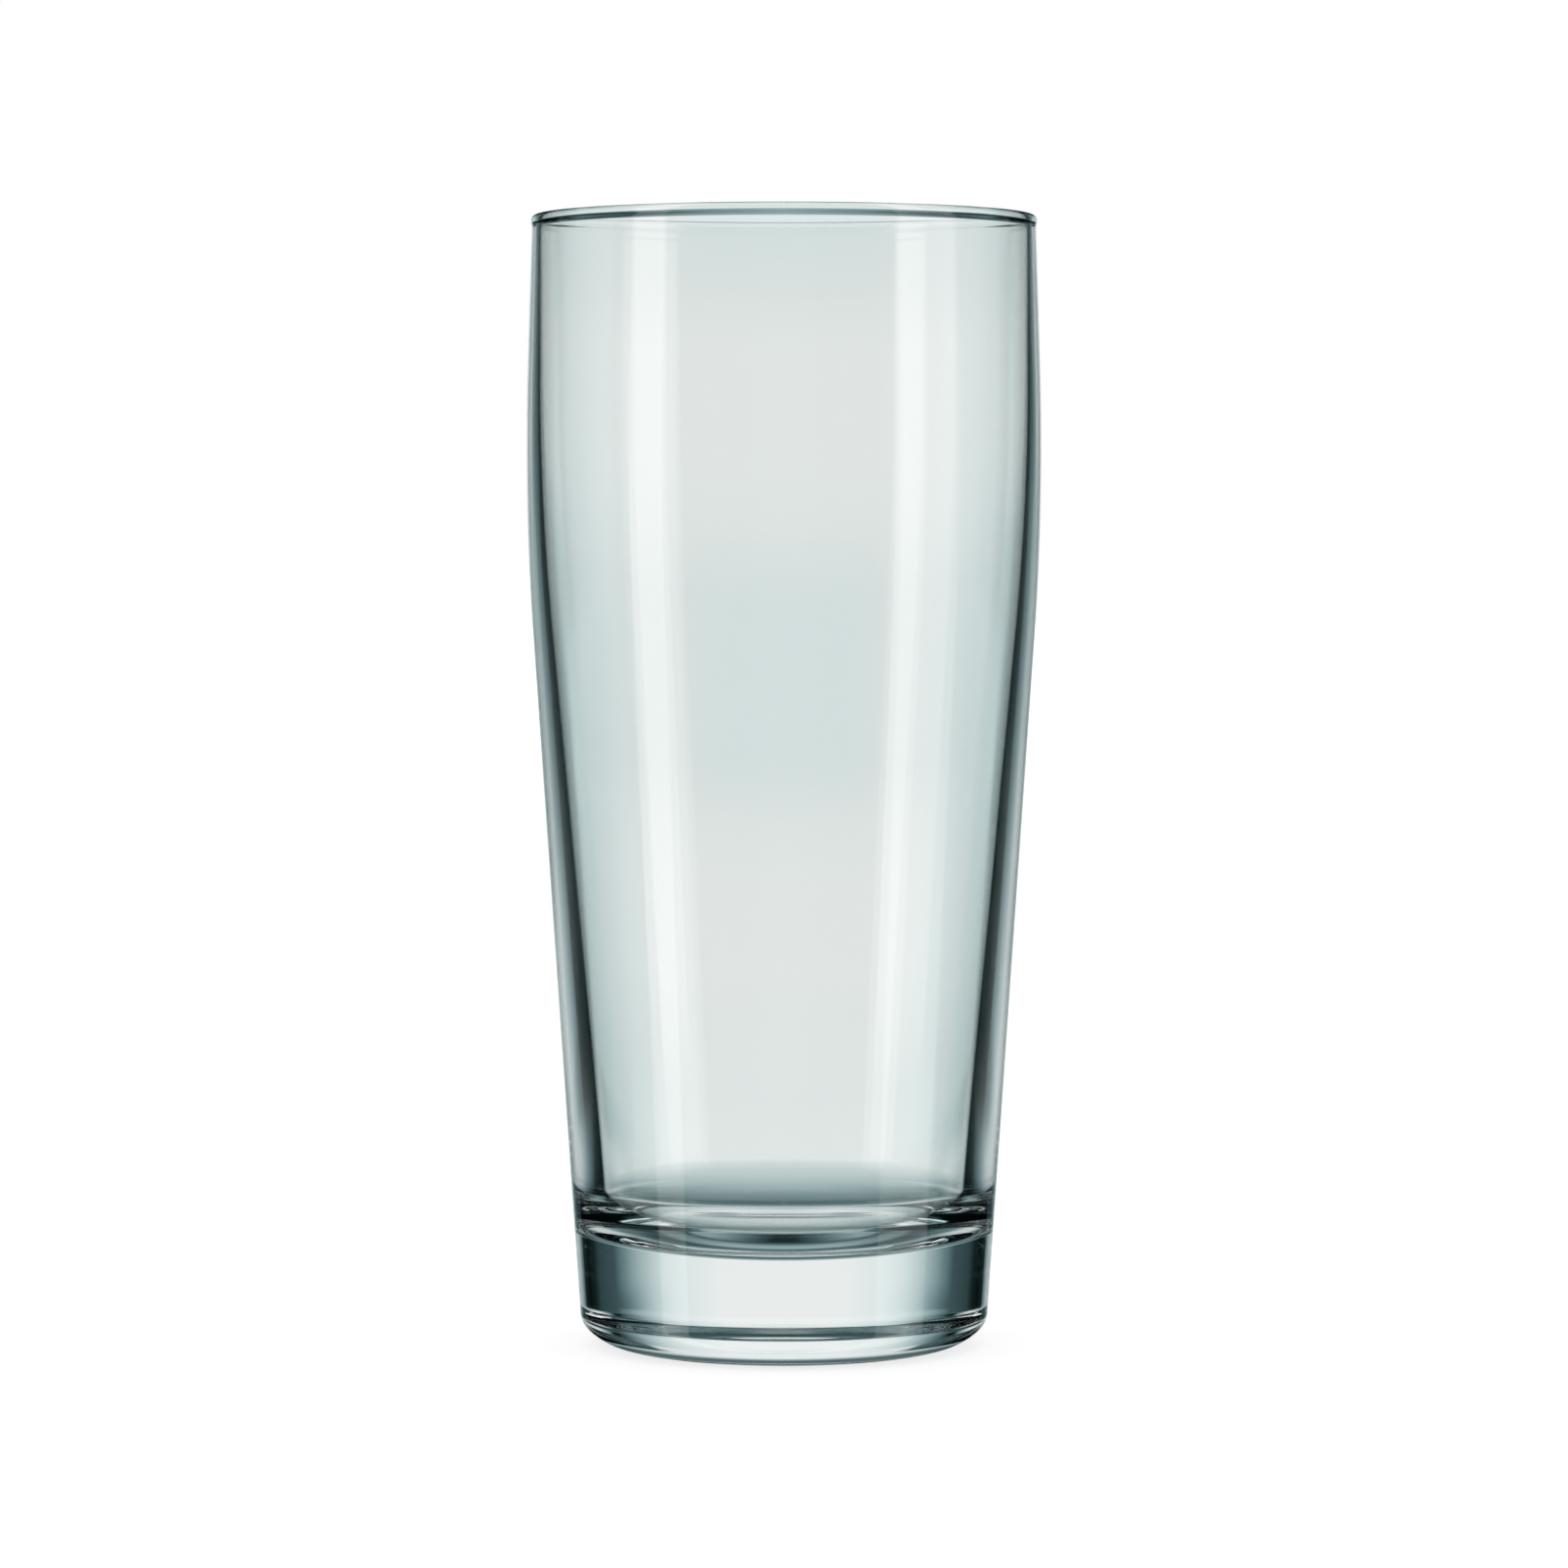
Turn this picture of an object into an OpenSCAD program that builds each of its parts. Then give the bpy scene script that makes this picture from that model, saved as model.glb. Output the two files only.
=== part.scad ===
// Beer tumbler: a tall tapered drinking glass with a thick base, a belly near the top
// and a drawn-in, fire-polished lip. One piece of glass, turned about the Z axis.
// Millimetres, +Z up. The origin is the middle of the foot, on the table.

/* [Outside] */
// Height from the table to the top of the lip
height = 146; // [110:1:180]
// Largest outside diameter, at the belly
belly_d = 66.4; // [56:0.2:80]
// How far the belly lies below the top of the lip
belly_drop = 30; // [22:0.5:40]
// Radius of the belly's curve in side view
belly_curve_r = 350; // [150:10:400]
// Slope of the long lower wall from upright, in degrees
taper = 3.87; // [1:0.01:5]
// Slope of the drawn-in wall under the lip from upright, in degrees
draw_in = 1.8; // [0.5:0.05:3]

/* [Lip] */
// Wall thickness just under the lip
lip_wall = 1.1; // [0.9:0.05:2]
// How far the fire-polished lip stands proud of the wall on each side
lip_proud = 0.2; // [0.05:0.05:0.4]
// Radius of the hollow that blends the wall into the lip
lip_blend_r = 2; // [0.5:0.1:4]

/* [Inside] */
// Wall thickness at the height of the floor
foot_wall = 4.45; // [2.5:0.05:6]
// Thickness of the solid base at the axis, from the table to the floor
base_t = 12.7; // [8:0.1:20]
// Radius of the inner corner between the wall and the floor
corner_r = 8; // [2:0.5:12]
// Radius of the floor's shallow dish
dish_r = 100; // [50:5:200]

/* [Foot] */
// Radius of the heel, where the wall turns under
heel_r = 3.2; // [1.5:0.1:5]
// Radius of the sole, which runs on from the heel to the table
sole_r = 7.5; // [6:0.1:12]
// Slope at which the heel passes into the sole, in degrees from upright
sole_turn = 46; // [35:1:60]
// Width of the flat bearing ring that stands on the table
ring_w = 2.5; // [1:0.25:5]
// Rise of the hollow underside at the axis
push_up = 0.6; // [0.3:0.1:3]

/* [Hidden] */

// Straight steps in each arc of the outline
arc_steps = 16;
// Sides of the preview
preview_sides = 180;

// Outside of the wall: a cone, the belly's arc and the drawn-in cone, each tangent to the next
belly_z = height - belly_drop;
belly_c = [belly_d / 2 - belly_curve_r, belly_z];
cone_top = belly_c + belly_curve_r * [cos(taper), -sin(taper)];
neck_start = belly_c + belly_curve_r * [cos(draw_in), sin(draw_in)];
// Radius at which the lower cone would meet the table
foot_r = cone_top.x - cone_top.y * tan(taper);

// Outside radius of the wall at a height
function outer_r(z) =
    z < cone_top.y ? foot_r + z * tan(taper)
    : z < neck_start.y ? belly_c.x + sqrt(pow(belly_curve_r, 2) - pow(z - belly_z, 2))
    : neck_start.x - (z - neck_start.y) * tan(draw_in);

// The wall thickens steadily from the lip down to the floor
wall_gain = (foot_wall - lip_wall) / (height - base_t);
function wall_t(z) = lip_wall + (height - z) * wall_gain;
function inner_r(z) = outer_r(z) - wall_t(z);

// Points along an arc about a centre, from one angle to another
function arc(centre, r, from, to) =
    [for (i = [0:arc_steps])
        let (a = from + (to - from) * i / arc_steps)
        centre + r * [cos(a), sin(a)]];

// Heel and sole: two arcs, tangent to the lower cone, to each other and to the table
sole_reach = sole_r - heel_r;
heel_z = sole_r - sole_reach * sin(sole_turn);
heel_c = [foot_r + heel_z * tan(taper) - heel_r / cos(taper), heel_z];
sole_c = [heel_c.x - sole_reach * cos(sole_turn), sole_r];
sole = arc(sole_c, sole_r, -90, -sole_turn);
heel = arc(heel_c, heel_r, -sole_turn, -taper);

// Underside: a shallow hollow inside the bearing ring
hollow_r = sole_c.x - ring_w;
hollow_curve_r = (pow(hollow_r, 2) + pow(push_up, 2)) / (2 * push_up);
hollow_c = [0, push_up - hollow_curve_r];
hollow = arc(hollow_c, hollow_curve_r, 90, 90 - asin(hollow_r / hollow_curve_r));

// Lip: a round bead on the middle of the wall, blended into both faces by hollows
bead_r = lip_wall / 2 + lip_proud;
bead_z = height - bead_r;
bead_c = [(outer_r(bead_z) + inner_r(bead_z)) / 2, bead_z];
inner_lean = atan(tan(draw_in) - wall_gain);
blend_reach = bead_r + lip_blend_r;
// Centre of the hollow on a face that leans by an angle; side is 1 outside and -1 inside
function blend_swing(lean) =
    let (face = (wall_t(bead_z) / 2) * cos(lean))
    acos((face + lip_blend_r) / blend_reach);
outer_swing = blend_swing(draw_in);
inner_swing = blend_swing(inner_lean);
outer_blend_a = draw_in - outer_swing;
inner_blend_a = 180 + inner_lean + inner_swing;
outer_blend_c = bead_c + blend_reach * [cos(outer_blend_a), sin(outer_blend_a)];
inner_blend_c = bead_c + blend_reach * [cos(inner_blend_a), sin(inner_blend_a)];
lip = concat(
    arc(outer_blend_c, lip_blend_r, 180 + draw_in, 180 + outer_blend_a),
    arc(bead_c, bead_r, outer_blend_a, inner_blend_a),
    arc(inner_blend_c, lip_blend_r, inner_blend_a - 180, inner_lean));

// Inside corner: tangent to the inner cone and to the floor's dish
inner_taper = atan(tan(taper) + wall_gain);
inner_foot_r = inner_r(0);
dish_c = [0, base_t + dish_r];
// The corner's centre lies on the inner cone moved in by the corner's radius
corner_line_r = inner_foot_r - corner_r / cos(inner_taper);
corner_b = corner_line_r * tan(inner_taper) - dish_c.y;
corner_a = 1 + pow(tan(inner_taper), 2);
corner_d = pow(corner_line_r, 2) + pow(dish_c.y, 2) - pow(dish_r - corner_r, 2);
corner_z = (-corner_b - sqrt(pow(corner_b, 2) - corner_a * corner_d)) / corner_a;
corner_c = [corner_line_r + corner_z * tan(inner_taper), corner_z];
floor_edge_a = atan2(corner_c.y - dish_c.y, corner_c.x);
corner = arc(corner_c, corner_r, -inner_taper, floor_edge_a);
floor_dish = arc(dish_c, dish_r, floor_edge_a, -90);

// The belly's arc outside, and the same heights inside, from the neck down
belly = arc(belly_c, belly_curve_r, -taper, draw_in);
belly_inside = [for (i = [arc_steps:-1:0]) [inner_r(belly[i].y), belly[i].y]];

outline = concat(hollow, sole, heel, belly, lip, belly_inside, corner, floor_dish);

// The whole glass, one turned piece
module tumbler() {
    color([0.86, 0.92, 0.91, 0.45])
        rotate_extrude($fn = preview_sides)
            polygon(outline);
}

tumbler();
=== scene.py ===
"""Looks of the beer tumbler: the turned glass, the white stage, the studio light and the camera.

Metres, +Z up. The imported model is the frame: the glass stands where the frame's solid stands.
"""

import logging
import math
from dataclasses import dataclass
from enum import Enum
from typing import Any, Mapping, Optional, Tuple, Union

import bmesh
import bpy
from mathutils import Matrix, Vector


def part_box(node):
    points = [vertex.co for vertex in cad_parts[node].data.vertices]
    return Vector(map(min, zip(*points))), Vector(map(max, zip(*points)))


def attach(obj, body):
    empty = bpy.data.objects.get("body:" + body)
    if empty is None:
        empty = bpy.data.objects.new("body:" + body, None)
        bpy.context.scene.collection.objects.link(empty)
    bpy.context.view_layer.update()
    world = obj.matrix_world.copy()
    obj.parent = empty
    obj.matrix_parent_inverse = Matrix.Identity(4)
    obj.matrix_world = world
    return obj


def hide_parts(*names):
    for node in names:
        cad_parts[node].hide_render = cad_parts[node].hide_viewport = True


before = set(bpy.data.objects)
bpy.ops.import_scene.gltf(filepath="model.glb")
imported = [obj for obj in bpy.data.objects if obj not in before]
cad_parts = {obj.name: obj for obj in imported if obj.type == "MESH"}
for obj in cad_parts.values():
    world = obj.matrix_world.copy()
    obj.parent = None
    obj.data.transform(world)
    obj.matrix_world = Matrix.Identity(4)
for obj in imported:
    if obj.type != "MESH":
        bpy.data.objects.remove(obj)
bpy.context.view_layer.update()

LOG = logging.getLogger("tumbler")
NODE = "tumbler"
BODY = "root"

# Radius and height of a point of the half section
Point = Tuple[float, float]
# Where a fade starts and where it is full
Span = Tuple[float, float]
Colour = Tuple[float, float, float]
Scale = Tuple[float, float, float]
# Place and level of each stop of a ramp, from first to last
Levels = Tuple[Tuple[float, float], ...]

# Sides of the round sheets of the stage
DISC_SIDES = 96


class SocketKind(Enum):
    """Kinds of input that a tree of nodes offers."""

    SHAPE = "NodeSocketGeometry"
    COUNT = "NodeSocketInt"
    LENGTH = "NodeSocketFloat"
    FINISH = "NodeSocketMaterial"


class Operation(Enum):
    """Arithmetic that a Value can do."""

    ADD = "ADD"
    SUBTRACT = "SUBTRACT"
    MULTIPLY = "MULTIPLY"
    DIVIDE = "DIVIDE"
    MODULO = "FLOORED_MODULO"
    FLOOR = "FLOOR"
    SINE = "SINE"
    COSINE = "COSINE"
    ARCCOSINE = "ARCCOSINE"
    ROOT = "SQRT"
    SIZE = "ABSOLUTE"
    LARGEST = "MAXIMUM"


class Value:
    """A socket of a node tree, written as arithmetic in Python."""

    def __init__(self, graph: "Graph", socket: bpy.types.NodeSocket) -> None:
        """Keep the socket and the graph that its sums are added to."""
        self.graph = graph
        self.socket = socket

    def peer(self, name: str) -> "Value":
        """Another output of the same node, by name."""
        return Value(self.graph, self.socket.node.outputs[name])

    def __add__(self, other: "Term") -> "Value":
        """Sum."""
        return self.graph.sum(Operation.ADD, self, other)

    def __radd__(self, other: "Term") -> "Value":
        """Sum, with the number first."""
        return self.graph.sum(Operation.ADD, other, self)

    def __sub__(self, other: "Term") -> "Value":
        """Difference."""
        return self.graph.sum(Operation.SUBTRACT, self, other)

    def __rsub__(self, other: "Term") -> "Value":
        """Difference, with the number first."""
        return self.graph.sum(Operation.SUBTRACT, other, self)

    def __mul__(self, other: "Term") -> "Value":
        """Product."""
        return self.graph.sum(Operation.MULTIPLY, self, other)

    def __rmul__(self, other: "Term") -> "Value":
        """Product, with the number first."""
        return self.graph.sum(Operation.MULTIPLY, other, self)

    def __truediv__(self, other: "Term") -> "Value":
        """Quotient."""
        return self.graph.sum(Operation.DIVIDE, self, other)

    def __mod__(self, other: "Term") -> "Value":
        """Remainder."""
        return self.graph.sum(Operation.MODULO, self, other)

    def __abs__(self) -> "Value":
        """Size without sign."""
        return self.graph.sum(Operation.SIZE, self)


Term = Union[Value, int, float]


class Graph:
    """Adds nodes to one shader, world or geometry tree."""

    # Part of a whole count at which the step to the next count starts and ends
    count_step: Span = (0.25, 0.75)
    faces_of_two_walls = 4
    # Red and blue of the dimmest light, as shares of its green
    dim_red = 0.35
    dim_blue = 1.1
    # Places of the colour sockets of a mixing node, whose sockets share their names
    mix_share = 0
    mix_first = 6
    mix_second = 7
    mix_result = 2
    # The setting at which the facing of a surface is its plain cosine
    plain_facing = 0.5

    def __init__(self, tree: bpy.types.NodeTree) -> None:
        """Empty the tree and keep it."""
        self.tree = tree
        tree.nodes.clear()

    def node(
        self,
        kind: str,
        settings: Optional[Mapping[str, Any]] = None,
        sockets: Optional[Mapping[Union[str, int], Any]] = None,
        out: Union[str, int] = 0,
    ) -> Value:
        """Add one node.

        Args:
            kind: Blender's type name of the node.
            settings: the node's own properties, set first; stops fill a colour ramp.
            sockets: a plain value or a Value for each input, by name or place.
            out: the output that the caller wants.

        Returns:
            The chosen output, or the first input of a node that has no outputs.
        """
        made = self.tree.nodes.new(kind)
        for name, setting in (settings or {}).items():
            if name == "stops":
                self._fill_ramp(made.color_ramp, setting)
            else:
                setattr(made, name, setting)
        for name, given in (sockets or {}).items():
            if isinstance(given, Value):
                self.tree.links.new(given.socket, made.inputs[name])
            else:
                made.inputs[name].default_value = given
        return Value(self, made.outputs[out] if made.outputs else made.inputs[0])

    @staticmethod
    def _fill_ramp(ramp: bpy.types.ColorRamp, stops: Levels) -> None:
        """Give a colour ramp grey stops, from first to last."""
        while len(ramp.elements) < len(stops):
            ramp.elements.new(1.0)
        for element, (place, level) in zip(ramp.elements, stops):
            element.position = place
            element.color = (level, level, level, 1.0)

    def sum(self, operation: Operation, first: Term, second: Term = 0.0) -> Value:
        """Add one Math node.

        Args:
            operation: what it does.
            first: its first number.
            second: its second number, where it takes two.

        Returns:
            The result.
        """
        return self.node("ShaderNodeMath", {"operation": operation.value}, {0: first, 1: second})

    def fade(self, value: Value, low: float, high: float) -> Value:
        """A smooth rise from 0 at low to 1 at high."""
        settings = {"interpolation_type": "SMOOTHSTEP"}
        span = {"From Min": low, "From Max": high}
        return self.node("ShaderNodeMapRange", settings, {"Value": value, **span})

    def blend(self, share: Term, first: Term, second: Term) -> Value:
        """A level between first and second."""
        return first + (second - first) * share

    def ramp(self, value: Value, levels: Levels) -> Value:
        """A level that follows stops along a value.

        Args:
            value: the place along the stops.
            levels: the place and the level of each stop, from first to last.

        Returns:
            The level, which holds still before the first stop and after the last.
        """
        low = levels[0][0]
        span = levels[-1][0] - low
        stops = tuple(((place - low) / span, level) for place, level in levels)
        return self.node("ShaderNodeValToRGB", {"stops": stops}, {"Fac": (value - low) / span})

    def turns(self) -> Value:
        """How often light has been mirrored on its way through glass."""
        depth = self.node("ShaderNodeLightPath", None, None, "Ray Depth")
        return depth - depth.peer("Transmission Depth")

    def over(self, turns: Value, count: int) -> Value:
        """1 for light that has turned more often than a count, otherwise 0."""
        start, end = self.count_step
        return self.fade(turns, count + start, count + end)

    def twofold(self, early: int = 0) -> Value:
        """Mark light that has come straight through two walls of the glass.

        Args:
            early: turns that the tree counts on top of those in the glass.

        Returns:
            1 for such light, otherwise 0.
        """
        passed = self.node("ShaderNodeLightPath", None, None, "Transmission Depth")
        straight = 1 - self.over(self.turns() - early, 0)
        return straight * self.over(passed, self.faces_of_two_walls - 1)

    def slanted(self) -> Value:
        """0 where light meets a surface square on, 1 where it grazes the surface."""
        return self.node("ShaderNodeLayerWeight", None, {"Blend": self.plain_facing}, "Facing")

    def between(self, share: Value, first: Colour, second: Colour) -> Value:
        """A colour between two."""
        ends = {self.mix_first: (*first, 1.0), self.mix_second: (*second, 1.0)}
        sockets = {self.mix_share: share, **ends}
        return self.node("ShaderNodeMix", {"data_type": "RGBA"}, sockets, self.mix_result)

    def tinted(self, level: Value, warmth: Term = 1.0) -> Value:
        """Light of a level: white when it is full, blue-green when it is dim or has less warmth."""
        root = self.sum(Operation.ROOT, level)
        red = level * self.blend(root, self.dim_red, 1.0) * warmth
        blue = level * self.blend(root, self.dim_blue, 1.0)
        return self.node("ShaderNodeCombineXYZ", None, {"X": red, "Y": level, "Z": blue})

    def glow_or_clear(self, colour: Value, clear: Value) -> None:
        """End a material that glows in a colour, and lets light pass where clear is 1."""
        light = self.node("ShaderNodeEmission", None, {"Color": colour, "Strength": 1.0})
        gap = self.node("ShaderNodeBsdfTransparent")
        either = self.node("ShaderNodeMixShader", None, {0: clear, 1: light, 2: gap})
        self.node("ShaderNodeOutputMaterial", None, {"Surface": either})


def node_material(name: str) -> Tuple[bpy.types.Material, Graph]:
    """A new material, and the graph of its empty tree."""
    made = bpy.data.materials.new(name)
    made.use_nodes = True
    return made, Graph(made.node_tree)


def round_sheet(name: str, radius: float) -> bpy.types.Object:
    """A flat round sheet about the origin, in the scene and not yet dressed."""
    mesh = bpy.data.meshes.new(name)
    work = bmesh.new()
    bmesh.ops.create_circle(work, cap_ends=True, segments=DISC_SIDES, radius=radius)
    work.to_mesh(mesh)
    work.free()
    sheet = bpy.data.objects.new(name, mesh)
    bpy.context.collection.objects.link(sheet)
    return sheet


@dataclass(frozen=True)
class TumblerSizes:
    """Driving sizes of the glass in metres, and its slopes in degrees."""

    height: float
    belly_d: float
    belly_drop: float = 0.030
    belly_curve_r: float = 0.350
    taper: float = 3.87
    draw_in: float = 1.8
    lip_wall: float = 0.0011
    lip_proud: float = 0.0002
    lip_blend_r: float = 0.002
    foot_wall: float = 0.00445
    base_t: float = 0.0127
    corner_r: float = 0.008
    dish_r: float = 0.100
    heel_r: float = 0.0032
    sole_r: float = 0.0075
    sole_turn: float = 46.0
    ring_w: float = 0.0025
    push_up: float = 0.0006

    @classmethod
    def from_frame(cls) -> "TumblerSizes":
        """Take the height and the largest diameter from the frame's solid."""
        low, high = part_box(NODE)
        return cls(height=high[2] - low[2], belly_d=high[0] - low[0])


class Outline:
    """Closed half section of the glass, from the axis under the foot to the axis on the floor."""

    arc_steps = 24
    straight_step = 0.008
    # Distance from the end of a straight to the cut close to it
    close_step = 0.0003
    # A straight is cut when it is longer than this many close steps
    least_steps = 5

    def __init__(self, sizes: TumblerSizes) -> None:
        """Work out the tangent points that every stretch shares."""
        self.sizes = sizes
        self.taper = math.radians(sizes.taper)
        self.draw_in = math.radians(sizes.draw_in)
        self.belly_z = sizes.height - sizes.belly_drop
        self.belly_c = (sizes.belly_d / 2 - sizes.belly_curve_r, self.belly_z)
        self.cone_top = self._around(self.belly_c, sizes.belly_curve_r, -self.taper)
        self.neck = self._around(self.belly_c, sizes.belly_curve_r, self.draw_in)
        self.foot_r = self.cone_top[0] - self.cone_top[1] * math.tan(self.taper)
        self.wall_gain = (sizes.foot_wall - sizes.lip_wall) / (sizes.height - sizes.base_t)

    @staticmethod
    def _around(centre: Point, r: float, angle: float) -> Point:
        """Point at an angle on a circle."""
        return (centre[0] + r * math.cos(angle), centre[1] + r * math.sin(angle))

    def _arc(self, centre: Point, r: float, start: float, end: float) -> list[Point]:
        """Points along an arc, both ends included."""
        angles = (start + (end - start) * i / self.arc_steps for i in range(self.arc_steps + 1))
        return [self._around(centre, r, angle) for angle in angles]

    def outer_r(self, z: float) -> float:
        """Outside radius of the wall at a height."""
        if z < self.cone_top[1]:
            return self.foot_r + z * math.tan(self.taper)
        if z < self.neck[1]:
            return self.belly_c[0] + math.sqrt(self.sizes.belly_curve_r ** 2 - (z - self.belly_z) ** 2)
        return self.neck[0] - (z - self.neck[1]) * math.tan(self.draw_in)

    def wall_t(self, z: float) -> float:
        """Thickness of the wall at a height: it grows steadily from lip to floor."""
        return self.sizes.lip_wall + (self.sizes.height - z) * self.wall_gain

    def inner_r(self, z: float) -> float:
        """Inside radius of the wall at a height."""
        return self.outer_r(z) - self.wall_t(z)

    def foot(self) -> list[Point]:
        """The hollow underside, the bearing ring and the heel."""
        sizes = self.sizes
        turn = math.radians(sizes.sole_turn)
        apart = sizes.sole_r - sizes.heel_r
        heel_z = sizes.sole_r - apart * math.sin(turn)
        heel_x = self.foot_r + heel_z * math.tan(self.taper) - sizes.heel_r / math.cos(self.taper)
        ring_r = heel_x - apart * math.cos(turn)
        hollow_r = ring_r - sizes.ring_w
        curve_r = (hollow_r ** 2 + sizes.push_up ** 2) / (2 * sizes.push_up)
        rim = math.pi / 2 - math.asin(hollow_r / curve_r)
        hollow = self._arc((0.0, sizes.push_up - curve_r), curve_r, math.pi / 2, rim)
        sole = self._arc((ring_r, sizes.sole_r), sizes.sole_r, -math.pi / 2, -turn)
        return hollow + sole + self._arc((heel_x, heel_z), sizes.heel_r, -turn, -self.taper)[1:]

    def belly(self) -> list[Point]:
        """The belly's arc outside, upwards."""
        return self._arc(self.belly_c, self.sizes.belly_curve_r, -self.taper, self.draw_in)

    def lip(self) -> list[Point]:
        """The fire-polished bead and the hollows that blend it into both faces of the wall."""
        sizes = self.sizes
        bead_r = sizes.lip_wall / 2 + sizes.lip_proud
        bead_z = sizes.height - bead_r
        bead_c = ((self.outer_r(bead_z) + self.inner_r(bead_z)) / 2, bead_z)
        inner_lean = math.atan(math.tan(self.draw_in) - self.wall_gain)
        blend_r = sizes.lip_blend_r
        reach = bead_r + blend_r

        def swing(lean: float) -> float:
            """Angle from a face's normal down to the hollow's centre."""
            face = self.wall_t(bead_z) / 2 * math.cos(lean)
            return math.acos((face + blend_r) / reach)

        outer_a = self.draw_in - swing(self.draw_in)
        inner_a = math.pi + inner_lean + swing(inner_lean)
        outer_c = self._around(bead_c, reach, outer_a)
        inner_c = self._around(bead_c, reach, inner_a)
        outer_hollow = self._arc(outer_c, blend_r, math.pi + self.draw_in, math.pi + outer_a)
        bead = self._arc(bead_c, bead_r, outer_a, inner_a)
        inner_hollow = self._arc(inner_c, blend_r, inner_a - math.pi, inner_lean)
        return outer_hollow + bead[1:-1] + inner_hollow

    def belly_inside(self) -> list[Point]:
        """The inside of the belly, downwards."""
        return [(self.inner_r(z), z) for _, z in reversed(self.belly())]

    def floor(self) -> list[Point]:
        """The inner corner and the shallow dish of the floor."""
        sizes = self.sizes
        slope = math.tan(self.taper) + self.wall_gain
        lean = math.atan(slope)
        corner_r = sizes.corner_r
        dish_c = (0.0, sizes.base_t + sizes.dish_r)
        line_r = self.inner_r(0.0) - corner_r / math.cos(lean)
        a = 1 + slope ** 2
        b = line_r * slope - dish_c[1]
        c = line_r ** 2 + dish_c[1] ** 2 - (sizes.dish_r - corner_r) ** 2
        corner_z = (-b - math.sqrt(b ** 2 - a * c)) / a
        corner_c = (line_r + corner_z * slope, corner_z)
        edge = math.atan2(corner_c[1] - dish_c[1], corner_c[0])
        corner = self._arc(corner_c, corner_r, -lean, edge)
        return corner + self._arc(dish_c, sizes.dish_r, edge, -math.pi / 2)[1:]

    def points(self) -> list[Point]:
        """The whole section, with long straights cut close to their ends and in even steps between.

        The close cuts keep the smooth shading of an arc from running on into the straight beside it.

        Returns:
            Radius and height of each point, in order.
        """
        corners = self.foot() + self.belly() + self.lip() + self.belly_inside() + self.floor()
        section = [corners[0]]
        for start, end in zip(corners, corners[1:]):
            length = math.dist(start, end)
            cuts = [1.0]
            if length > self.least_steps * self.close_step:
                close = self.close_step / length
                pieces = math.ceil(length / self.straight_step)
                cuts = [close, *(i / pieces for i in range(1, pieces)), 1 - close, 1.0]
            section += [tuple(p + (q - p) * share for p, q in zip(start, end)) for share in cuts]
        return section


@dataclass(frozen=True)
class ClearGlass:
    """Clear soda-lime glass, fire-polished, with a faint grey-green tint.

    The tint deepens towards the foot and in faint upright cords; a slow waviness is left from forming.
    """

    tint: Colour = (0.956, 0.976, 0.968)
    deep_tint: Colour = (0.944, 0.970, 0.960)
    foot: Span = (0.004, 0.060)
    foot_share: float = 0.3
    cord_share: float = 0.35
    cord_scale: Scale = (120.0, 120.0, 7.0)
    cord_detail: float = 2.0
    wave_scale: float = 45.0
    wave_depth: float = 0.00003
    ior: float = 1.52
    roughness: float = 0.0

    def material(self) -> bpy.types.Material:
        """Build the finish as a node material."""
        made, graph = node_material("clear_glass")
        place = graph.node("ShaderNodeTexCoord", None, None, "Object")
        height = graph.node("ShaderNodeSeparateXYZ", None, {"Vector": place}, "Z")
        drawn = graph.node("ShaderNodeMapping", None, {"Vector": place, "Scale": self.cord_scale})
        fine = {"Scale": 1.0, "Detail": self.cord_detail}
        cords = graph.node("ShaderNodeTexNoise", None, {"Vector": drawn, **fine})
        slow = {"Scale": self.wave_scale, "Detail": 0.0}
        waves = graph.node("ShaderNodeTexNoise", None, {"Vector": place, **slow})
        deep = (1 - graph.fade(height, *self.foot)) * self.foot_share + cords * self.cord_share
        tint = graph.between(deep, self.tint, self.deep_tint)
        wavy = graph.node("ShaderNodeBump", None, {"Height": waves, "Distance": self.wave_depth})
        glass = graph.node(
            "ShaderNodeBsdfPrincipled",
            None,
            {
                "Base Color": tint,
                "Roughness": self.roughness,
                "IOR": self.ior,
                "Transmission Weight": 1.0,
                "Normal": wavy,
            },
        )
        graph.node("ShaderNodeOutputMaterial", None, {"Surface": glass})
        return made


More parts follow.
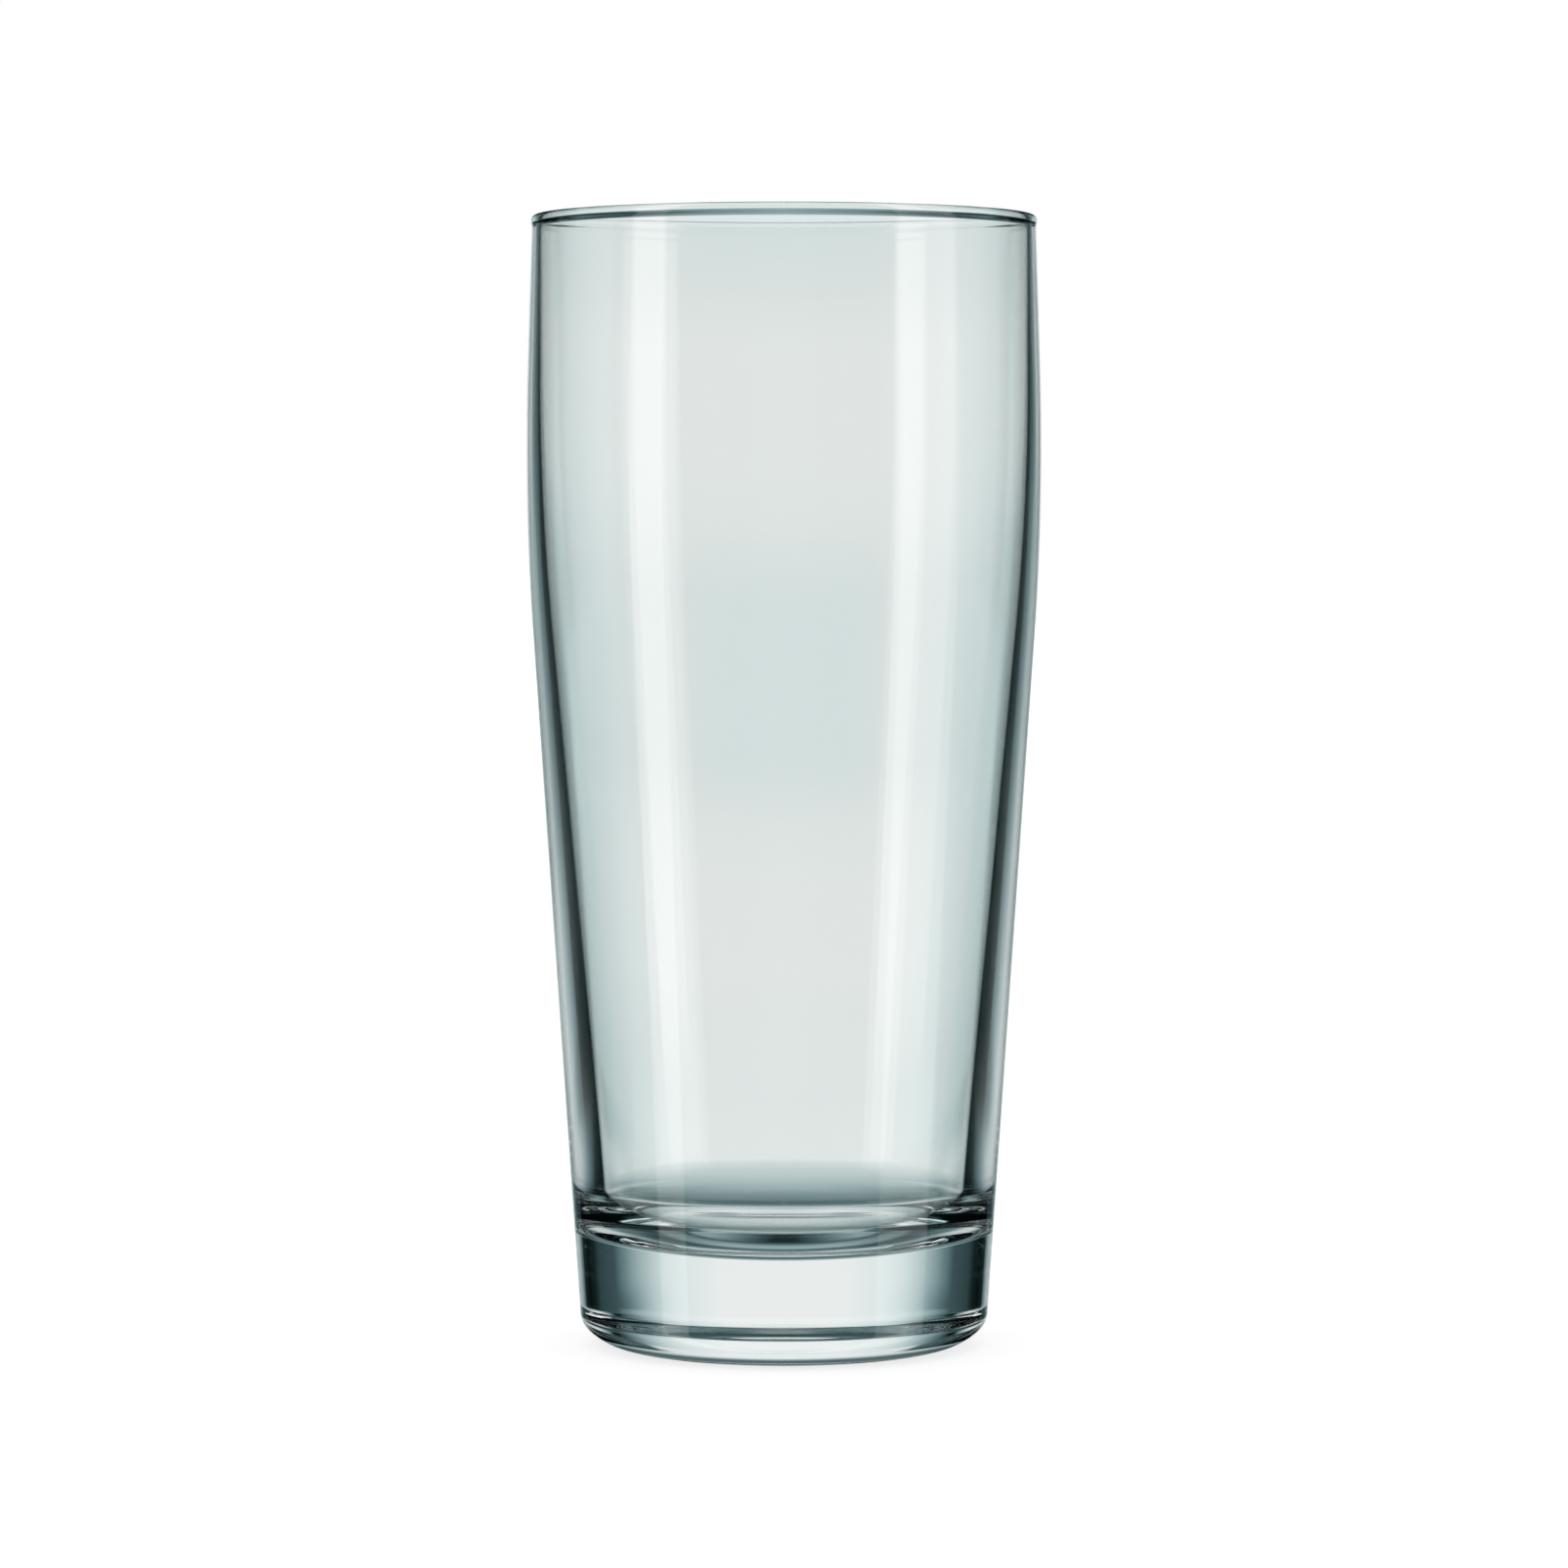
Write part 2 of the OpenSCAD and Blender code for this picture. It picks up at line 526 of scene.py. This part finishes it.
@dataclass
class Tumbler:
    """The whole glass, one turned piece."""

    sizes: TumblerSizes
    finish: ClearGlass
    segments: int = 320
    # Gap that is welded, as a share of the shortest cut
    weld_share: float = 0.001

    def _section(self) -> bpy.types.Mesh:
        """The half section as a chain of edges in the XZ plane."""
        points = Outline(self.sizes).points()
        mesh = bpy.data.meshes.new("tumbler_section")
        edges = [(i, i + 1) for i in range(len(points) - 1)]
        mesh.from_pydata([(r, 0.0, z) for r, z in points], edges, [])
        return mesh

    def _lathe(self) -> bpy.types.NodeTree:
        """A tree that turns a half section about the Z axis.

        Returns:
            The tree, with inputs for the section, the segments, the welding gap and the finish.
        """
        tree = bpy.data.node_groups.new("lathe", "GeometryNodeTree")
        graph = Graph(tree)
        for name, kind in (
            ("Section", SocketKind.SHAPE),
            ("Segments", SocketKind.COUNT),
            ("Weld", SocketKind.LENGTH),
            ("Glass", SocketKind.FINISH),
        ):
            tree.interface.new_socket(name, in_out="INPUT", socket_type=kind.value)
        tree.interface.new_socket("Turned", in_out="OUTPUT", socket_type=SocketKind.SHAPE.value)
        section = graph.node("NodeGroupInput")
        around = section.peer("Segments") + 1
        size = graph.node("GeometryNodeAttributeDomainSize", None, {"Geometry": section})
        grid = graph.node("GeometryNodeMeshGrid", None, {"Vertices X": size, "Vertices Y": around})
        index = graph.node("GeometryNodeInputIndex")
        # Half a step keeps the quotient clear of rounding
        row = graph.sum(Operation.FLOOR, (index + 0.5) / around)
        column = index % around
        place = graph.node("GeometryNodeInputPosition")
        sampled = graph.node(
            "GeometryNodeSampleIndex",
            {"data_type": "FLOAT_VECTOR"},
            {"Geometry": section, "Index": row, "Value": place},
        )
        radius = graph.node("ShaderNodeSeparateXYZ", None, {"Vector": sampled})
        angle = column / section.peer("Segments") * math.tau
        turned = graph.node(
            "ShaderNodeCombineXYZ",
            None,
            {
                "X": radius * graph.sum(Operation.COSINE, angle),
                "Y": radius * graph.sum(Operation.SINE, angle),
                "Z": radius.peer("Z"),
            },
        )
        moved = graph.node("GeometryNodeSetPosition", None, {"Geometry": grid, "Position": turned})
        welded = graph.node(
            "GeometryNodeMergeByDistance", None, {"Geometry": moved, "Distance": section.peer("Weld")}
        )
        smooth = graph.node("GeometryNodeSetShadeSmooth", None, {"Geometry": welded})
        real = graph.node("GeometryNodeRealizeInstances", None, {"Geometry": smooth})
        dressed = graph.node(
            "GeometryNodeSetMaterial", None, {"Geometry": real, "Material": section.peer("Glass")}
        )
        graph.node("NodeGroupOutput", None, {"Turned": dressed})
        return tree

    def build(self) -> bpy.types.Object:
        """Turn the section into the closed glass and set it in the frame.

        Returns:
            The finished piece.
        """
        piece = bpy.data.objects.new("tumbler_glass", self._section())
        bpy.context.collection.objects.link(piece)
        tree = self._lathe()
        lathe = piece.modifiers.new("lathe", "NODES")
        lathe.node_group = tree
        weld = Outline.close_step * self.weld_share
        given = {"Segments": self.segments, "Weld": weld, "Glass": self.finish.material()}
        for socket in tree.interface.items_tree:
            if socket.name in given:
                lathe[socket.identifier] = given[socket.name]
        bpy.context.view_layer.update()
        evaluated = piece.evaluated_get(bpy.context.evaluated_depsgraph_get())
        turned = bpy.data.meshes.new_from_object(evaluated)
        piece.modifiers.clear()
        piece.data = turned
        self._face_outwards(turned)
        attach(piece, BODY)
        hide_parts(NODE)
        return piece

    @staticmethod
    def _face_outwards(mesh: bpy.types.Mesh) -> None:
        """Point every face of the closed glass out of the glass."""
        work = bmesh.new()
        work.from_mesh(mesh)
        bmesh.ops.recalc_face_normals(work, faces=work.faces)
        work.to_mesh(mesh)
        work.free()


@dataclass
class Stage:
    """The pale floor, which shows white round the glass and keeps its soft shadow."""

    radius: float = 6.0
    albedo: float = 0.32
    lift: float = 0.77

    def build(self) -> bpy.types.Object:
        """Lay the floor under the glass.

        Returns:
            The floor, which only the camera and soft light see: clear glass shows the studio instead.
        """
        floor = round_sheet("floor", self.radius)
        floor.data.materials.append(self._paper())
        floor.visible_glossy = False
        floor.visible_transmission = False
        return floor

    def _paper(self) -> bpy.types.Material:
        """Matt white paper that glows a little, so that it reads white where no shadow falls."""
        made, graph = node_material("white_paper")
        paper = graph.node(
            "ShaderNodeBsdfPrincipled",
            None,
            {
                "Base Color": (self.albedo, self.albedo, self.albedo, 1.0),
                "Roughness": 1.0,
                "Specular IOR Level": 0.0,
                "Emission Color": (1.0, 1.0, 1.0, 1.0),
                "Emission Strength": self.lift,
            },
        )
        graph.node("ShaderNodeOutputMaterial", None, {"Surface": paper})
        return made


@dataclass(frozen=True)
class Panel:
    """A lit sheet behind the glass, bright in the middle and dying away to its sides and its top.

    Only gloss and glass see it, and light that meets it aslant passes through. Places on the sheet
    are in metres, aside from its middle and up from the table. The levels across change near the
    table and behind the belly. The warmth is the share of red that is left, in the middle by height
    and at the sides by how far aside. Gloss sees the sheet narrower, and light that comes straight
    through two walls doesn't see its dim top.
    """

    distance: float = 0.212
    bottom_z: float = -0.06
    top_z: float = 0.25
    mirrored: float = 1.25
    slant: Span = (0.22, 0.30)
    top_from: Span = (0.155, 0.190)
    top: Levels = (
        (0.000, 0.42),
        (0.020, 0.30),
        (0.042, 0.05),
    )
    across: Levels = (
        (0.035, 1.0),
        (0.060, 0.93),
        (0.075, 0.84),
        (0.090, 0.70),
        (0.105, 0.50),
        (0.120, 0.32),
        (0.135, 0.20),
        (0.150, 0.13),
        (0.165, 0.105),
    )
    across_high: Levels = (
        (0.035, 1.0),
        (0.060, 0.95),
        (0.090, 0.93),
        (0.106, 0.82),
        (0.118, 0.22),
        (0.130, 0.06),
        (0.165, 0.055),
    )
    high_from: Span = (0.085, 0.115)
    across_low: Levels = (
        (0.035, 1.0),
        (0.060, 0.94),
        (0.080, 0.84),
        (0.100, 0.63),
        (0.120, 0.44),
        (0.140, 0.26),
        (0.165, 0.14),
    )
    low_from: Span = (-0.006, 0.0)
    low_end: Span = (0.015, 0.045)
    upward: Levels = (
        (-0.002, 0.945),
        (0.006, 0.93),
        (0.012, 0.945),
        (0.025, 0.975),
        (0.041, 0.97),
        (0.051, 0.95),
        (0.060, 0.915),
        (0.090, 0.915),
        (0.100, 0.95),
        (0.110, 0.97),
        (0.130, 0.97),
        (0.140, 0.93),
        (0.152, 0.90),
    )
    warmth: Levels = (
        (0.050, 1.0),
        (0.062, 0.95),
        (0.088, 0.95),
        (0.102, 1.0),
        (0.136, 1.0),
        (0.150, 0.95),
    )
    cool_half: Span = (0.014, 0.024)
    edge_warmth: Levels = (
        (0.030, 1.0),
        (0.055, 0.96),
    )

    def _glow(self) -> bpy.types.Material:
        """Light that falls away from the middle of the sheet."""
        made, graph = node_material("panel_glow")
        place = graph.node("ShaderNodeTexCoord", None, None, "Object")
        x = graph.node("ShaderNodeSeparateXYZ", None, {"Vector": place})
        gloss = graph.node("ShaderNodeLightPath", None, None, "Is Reflection Ray")
        aside = abs(x) * graph.blend(gloss, 1.0, self.mirrored)
        height = x.peer("Z")
        high = graph.fade(height, *self.high_from)
        across = graph.blend(high, graph.ramp(aside, self.across), graph.ramp(aside, self.across_high))
        low = graph.fade(height, *self.low_from) * (1 - graph.fade(height, *self.low_end))
        across = graph.blend(low, across, graph.ramp(aside, self.across_low))
        level = graph.ramp(height, self.upward) * across
        top = graph.fade(height, *self.top_from) * (1 - graph.twofold())
        level = graph.blend(top, level, graph.ramp(aside, self.top))
        middle = graph.ramp(height, self.warmth)
        edge = graph.ramp(aside, self.edge_warmth)
        warmth = graph.blend(graph.fade(aside, *self.cool_half), middle, edge)
        graph.glow_or_clear(graph.tinted(level, warmth), graph.fade(graph.slanted(), *self.slant))
        return made

    def build(self) -> bpy.types.Object:
        """Stand the sheet behind the glass.

        Returns:
            The sheet, unseen by the camera and by soft light.
        """
        wide = self.across[-1][0]
        low, high = self.bottom_z, self.top_z
        corners = [(-wide, 0, low), (wide, 0, low), (wide, 0, high), (-wide, 0, high)]
        mesh = bpy.data.meshes.new("panel")
        mesh.from_pydata(corners, [], [(0, 1, 2, 3)])
        mesh.materials.append(self._glow())
        sheet = bpy.data.objects.new("panel", mesh)
        bpy.context.collection.objects.link(sheet)
        sheet.location = (0.0, self.distance, 0.0)
        sheet.visible_camera = False
        sheet.visible_diffuse = False
        sheet.visible_shadow = False
        return sheet


@dataclass(frozen=True)
class TableShade:
    """The table round the foot, dark in the glass's own shadow; only light through the glass shows it.

    At a shallow angle a smooth table mirrors the lit panel behind it. There the disc lets the ray
    through to the lower part of the panel, which stands for that mirror image. It also lets through
    what meets its edge, steep light well aside of the glass, and light turned in the glass that
    meets the table beyond the foot at a low angle or far aside.

    Levels follow metres before, behind or aside of the axis. `beside`, `steep_slant` and `aslant`
    follow the slant, which is the way aside over the way behind. `shallow`, `mirror`, `flat` and
    `steep` follow the grazing of the light, from 0 square on to 1.
    """

    radius: float = 0.19
    sink: float = 0.0002
    foot_r: float = 0.027
    soft: float = 0.003
    shallow: Span = (0.895, 0.925)
    edge: Span = (0.13, 0.19)
    steep_edge: Span = (0.055, 0.085)
    steep_slant: Span = (0.23, 0.38)
    mirror: Span = (0.70, 0.82)
    aslant: Span = (1.1, 1.4)
    flat: Span = (0.50, 0.66)
    steep: Span = (0.62, 0.70)
    steep_share: float = 0.5
    front: Levels = (
        (0.0000, 0.40),
        (0.0057, 0.13),
        (0.0087, 0.12),
        (0.0114, 0.42),
        (0.0142, 0.36),
        (0.0165, 0.13),
        (0.0185, 0.022),
        (0.0240, 0.012),
    )
    around: Levels = (
        (0.027, 0.03),
        (0.044, 0.10),
        (0.052, 0.70),
        (0.095, 0.86),
    )
    back: Levels = (
        (0.000, 0.40),
        (0.006, 0.63),
        (0.020, 0.95),
        (0.025, 0.78),
        (0.0275, 0.60),
        (0.0305, 0.30),
        (0.035, 0.17),
        (0.0425, 0.145),
        (0.049, 0.25),
        (0.062, 0.45),
        (0.085, 0.65),
        (0.120, 0.79),
        (0.190, 0.92),
    )
    under: Levels = (
        (0.008, 1.0),
        (0.020, 0.5),
        (0.026, 0.33),
    )
    beside: Levels = (
        (0.50, 1.0),
        (0.67, 0.75),
        (0.83, 0.44),
        (1.00, 0.22),
        (1.20, 0.11),
        (1.50, 0.05),
        (2.00, 0.015),
        (2.80, 0.03),
        (4.00, 0.75),
    )
    crescent: Levels = (
        (0.001, 0.0),
        (0.006, 0.10),
        (0.014, 0.34),
    )
    crescent_y: Span = (0.0155, 0.0185)

    def _shading(self) -> bpy.types.Material:
        """Light and shadow on the table, by how far a spot lies behind, before and beside the glass."""
        made, graph = node_material("table_shade")
        place = graph.node("ShaderNodeTexCoord", None, None, "Object")
        x = graph.node("ShaderNodeSeparateXYZ", None, {"Vector": place})
        reach = graph.node("ShaderNodeVectorMath", {"operation": "LENGTH"}, {0: place}, "Value")
        grazing = graph.slanted()
        aside = abs(x)
        away = x.peer("Y")
        beyond = graph.fade(reach, self.foot_r, self.foot_r + self.soft)
        slant = aside / graph.sum(Operation.LARGEST, away, self.soft)
        gentle = graph.fade(grazing, *self.steep)
        slant = slant * graph.blend(gentle, self.steep_share, 1.0)
        bent = graph.over(graph.turns(), 0)
        under = graph.blend(graph.fade(grazing, *self.flat), graph.ramp(aside, self.under), 1.0)
        back = graph.ramp(away, self.back) * graph.blend(beyond, under, graph.ramp(slant, self.beside))
        near = away * -1
        front = graph.blend(beyond, graph.ramp(near, self.front) * under, graph.ramp(reach, self.around))
        crescent = graph.ramp(aside, self.crescent) * graph.fade(near, *self.crescent_y) * (1 - beyond)
        front = graph.sum(Operation.LARGEST, front, crescent)
        behind = graph.fade(away, -self.soft, self.soft)
        level = graph.blend(behind, front, back)
        steep = graph.fade(reach, *self.steep_edge) * graph.fade(slant, *self.steep_slant)
        edge = graph.sum(Operation.LARGEST, graph.fade(reach, *self.edge), steep * (1 - gentle))
        past = graph.sum(Operation.LARGEST, graph.fade(grazing, *self.shallow), edge)
        aslant = graph.fade(slant, *self.aslant)
        mirror = graph.fade(grazing, *self.mirror)
        past = graph.sum(Operation.LARGEST, past, beyond * bent * graph.blend(behind, mirror, aslant))
        graph.glow_or_clear(graph.tinted(level), past)
        return made

    def build(self) -> bpy.types.Object:
        """Lay the shade on the table.

        Returns:
            The disc, unseen by the camera, by gloss and by soft light.
        """
        disc = round_sheet("table_shade", self.radius)
        disc.data.materials.append(self._shading())
        disc.location = (0.0, 0.0, -self.sink)
        disc.visible_camera = False
        disc.visible_diffuse = False
        disc.visible_glossy = False
        disc.visible_shadow = False
        return disc


@dataclass(frozen=True)
class Softbox:
    """An upright strip of light in front of the glass, for gloss and for light seldom turned in glass.

    Angles are in degrees; the heading counts from straight behind the glass, to the right.
    """

    heading: float
    half_width: float
    soft: float
    glow: float


@dataclass(frozen=True)
class Studio:
    """A dark room with a pale ceiling, a white table, two strips of light and white air for the camera.

    The levels of the room, its sides and the table follow the heading in degrees from straight
    behind the glass, and the ceiling's follow the sine of the elevation. So do the spans, up or down,
    apart from `front` and `lamp_front`, which follow the cosine of the heading. `loss` is the share
    of light that is left after so many turns in the glass.
    """

    dark: float = 0.006
    loss: Levels = (
        (2.0, 1.0),
        (4.0, 0.7),
        (10.0, 0.5),
        (24.0, 0.3),
    )
    room: Levels = (
        (60.0, 0.006),
        (67.0, 0.2),
        (94.0, 0.2),
        (99.0, 0.006),
    )
    room_low: Levels = (
        (50.0, 0.006),
        (54.0, 0.8),
        (68.0, 0.7),
        (80.0, 0.25),
        (94.0, 0.2),
        (99.0, 0.006),
    )
    low: Span = (0.12, 0.16)
    low_end: Span = (0.24, 0.32)
    mirrored: Levels = (
        (54.0, 0.008),
        (58.0, 0.5),
        (70.0, 0.5),
        (94.0, 0.4),
        (99.0, 0.008),
    )
    mirrored_from: Span = (-0.16, -0.08)
    ceiling: Levels = (
        (0.60, 0.004),
        (0.72, 0.008),
        (0.75, 0.30),
        (0.84, 0.42),
        (0.91, 0.28),
        (0.97, 0.26),
        (1.00, 0.15),
    )
    ceiling_from: Span = (0.60, 0.70)
    sides_high: Levels = (
        (46.0, 0.006),
        (51.0, 0.45),
        (57.0, 1.0),
        (108.0, 0.9),
        (120.0, 0.05),
    )
    high: Span = (0.10, 0.17)
    high_top: Span = (0.23, 0.26)
    sides: Levels = (
        (36.0, 0.105),
        (46.0, 0.085),
        (52.0, 0.065),
        (56.0, 0.02),
        (62.0, 0.006),
        (68.0, 0.03),
        (76.0, 0.9),
        (108.0, 0.9),
        (120.0, 0.05),
    )
    table: Levels = (
        (8.0, 0.2),
        (20.0, 1.0),
        (62.0, 1.0),
        (72.0, 0.15),
        (80.0, 0.15),
        (90.0, 0.5),
        (100.0, 0.15),
        (108.0, 0.15),
        (118.0, 1.0),
        (154.0, 1.0),
        (164.0, 0.15),
    )
    table_back: Span = (0.235, 0.275)
    table_front: Span = (0.10, 0.16)
    front: Span = (0.0, 0.2)
    even: float = 0.9
    even_from: Span = (0.10, 0.20)
    seen_turns: int = 2
    lamp: float = 0.9
    lamp_low: Span = (0.79, 0.83)
    lamp_high: Span = (0.90, 0.94)
    lamp_front: Span = (0.45, 0.70)
    strips: Tuple[Softbox, ...] = (Softbox(-116.0, 7.5, 2.0, 1.2), Softbox(111.0, 14.5, 3.0, 1.05))
    strips_top: Span = (0.15, 0.35)

    def build(self) -> bpy.types.World:
        """Light the scene: plain white for camera and soft light, the room for gloss and glass.

        Returns:
            The world.
        """
        world = bpy.data.worlds.new("studio")
        bpy.context.scene.world = world
        world.use_nodes = True
        graph = Graph(world.node_tree)
        aim = graph.node("ShaderNodeTexCoord", None, None, "Generated")
        x = graph.node("ShaderNodeSeparateXYZ", None, {"Vector": aim})
        y = x.peer("Y")
        flat = graph.sum(Operation.ROOT, x * x + y * y)
        right = x / flat
        away = y / flat
        up = x.peer("Z")
        down = up * -1
        rays = graph.node("ShaderNodeLightPath", None, None, "Is Reflection Ray")
        gloss = rays * (1 - rays.peer("Is Diffuse Ray"))
        front = graph.fade(away * -1, *self.front)
        below = graph.sum(
            Operation.LARGEST,
            graph.fade(down, *self.table_back),
            graph.fade(down, *self.table_front) * front,
        )
        turn = graph.sum(Operation.ARCCOSINE, away) * math.degrees(1.0)
        low = graph.fade(down, *self.low) * (1 - graph.fade(down, *self.low_end))
        room = graph.blend(low, graph.ramp(turn, self.room), graph.ramp(turn, self.room_low))
        high = graph.fade(up, *self.high) * (1 - graph.fade(up, *self.high_top))
        sides = graph.blend(high, graph.ramp(turn, self.sides), graph.ramp(turn, self.sides_high))
        straight = graph.blend(below, sides, graph.ramp(turn, self.table))
        # The way out into the world counts as one turn more
        turns = graph.turns() - 1
        room = graph.blend(graph.over(turns, 1), room, self.dark)
        level = graph.blend(graph.over(turns, 0), straight, room)
        mirrored = graph.ramp(turn, self.mirrored) * graph.fade(up, *self.mirrored_from)
        level = graph.blend(gloss, level, mirrored)
        level = graph.blend(graph.fade(up, *self.ceiling_from), level, graph.ramp(up, self.ceiling))
        lamp = graph.fade(up, *self.lamp_low) * (1 - graph.fade(up, *self.lamp_high))
        few = 1 - graph.over(turns, self.seen_turns)
        level = graph.blend(few * lamp * graph.fade(away * -1, *self.lamp_front), level, self.lamp)
        level = graph.blend(graph.twofold(1) * graph.fade(up, *self.even_from), level, self.even)
        for strip in self.strips:
            angle = math.radians(strip.heading)
            facing = right * math.sin(angle) + away * math.cos(angle)
            edge = math.cos(math.radians(strip.half_width + strip.soft))
            full = math.cos(math.radians(strip.half_width))
            shown = few * graph.fade(facing, edge, full) * (1 - graph.fade(up, *self.strips_top))
            level = graph.sum(Operation.LARGEST, level, shown * strip.glow)
        level = level * graph.ramp(turns, self.loss)
        share = graph.sum(Operation.LARGEST, gloss, rays.peer("Is Transmission Ray"))
        colour = graph.tinted(graph.blend(share, 1.0, level))
        light = graph.node("ShaderNodeBackground", None, {"Color": colour, "Strength": 1.0})
        graph.node("ShaderNodeOutputWorld", None, {"Surface": light})
        return world


@dataclass(frozen=True)
class View:
    """The photograph's viewpoint: just above the middle of the glass, looking slightly down."""

    distance: float = 0.75
    height: float = 0.105
    aim_height: float = 0.0727
    lens: float = 133.2
    sensor: float = 36.0
    near: float = 0.01
    far: float = 100.0

    def build(self) -> bpy.types.Object:
        """Set up the camera and make it the scene's own.

        Returns:
            The camera.
        """
        data = bpy.data.cameras.new("view")
        data.lens = self.lens
        data.sensor_width = self.sensor
        data.clip_start = self.near
        data.clip_end = self.far
        camera = bpy.data.objects.new("view", data)
        bpy.context.collection.objects.link(camera)
        camera.location = (0.0, -self.distance, self.height)
        aim = Vector((0.0, 0.0, self.aim_height)) - camera.location
        camera.rotation_euler = aim.to_track_quat("-Z", "Y").to_euler()
        bpy.context.scene.camera = camera
        return camera


@dataclass(frozen=True)
class Bounces:
    """How far light is followed through glass."""

    total: int = 64
    through: int = 48
    gloss: int = 48

    def apply(self) -> None:
        """Set the limits on the scene."""
        cycles = bpy.context.scene.cycles
        cycles.max_bounces = self.total
        cycles.transmission_bounces = self.through
        cycles.glossy_bounces = self.gloss


def main() -> None:
    """Build the camera, the stage, the light and the glass, and report each."""
    logging.basicConfig(level=logging.INFO, format="%(name)s: %(message)s")
    bpy.context.scene.view_settings.view_transform = "Standard"
    Bounces().apply()
    LOG.info("camera %s", View().build().name)
    LOG.info("stage %s", Stage().build().name)
    LOG.info("light %s", Studio().build().name)
    LOG.info("panel %s", Panel().build().name)
    LOG.info("shade %s", TableShade().build().name)
    glass = Tumbler(TumblerSizes.from_frame(), ClearGlass()).build()
    LOG.info("piece %s with %d faces", glass.name, len(glass.data.polygons))


if __name__ == "__main__":
    main()
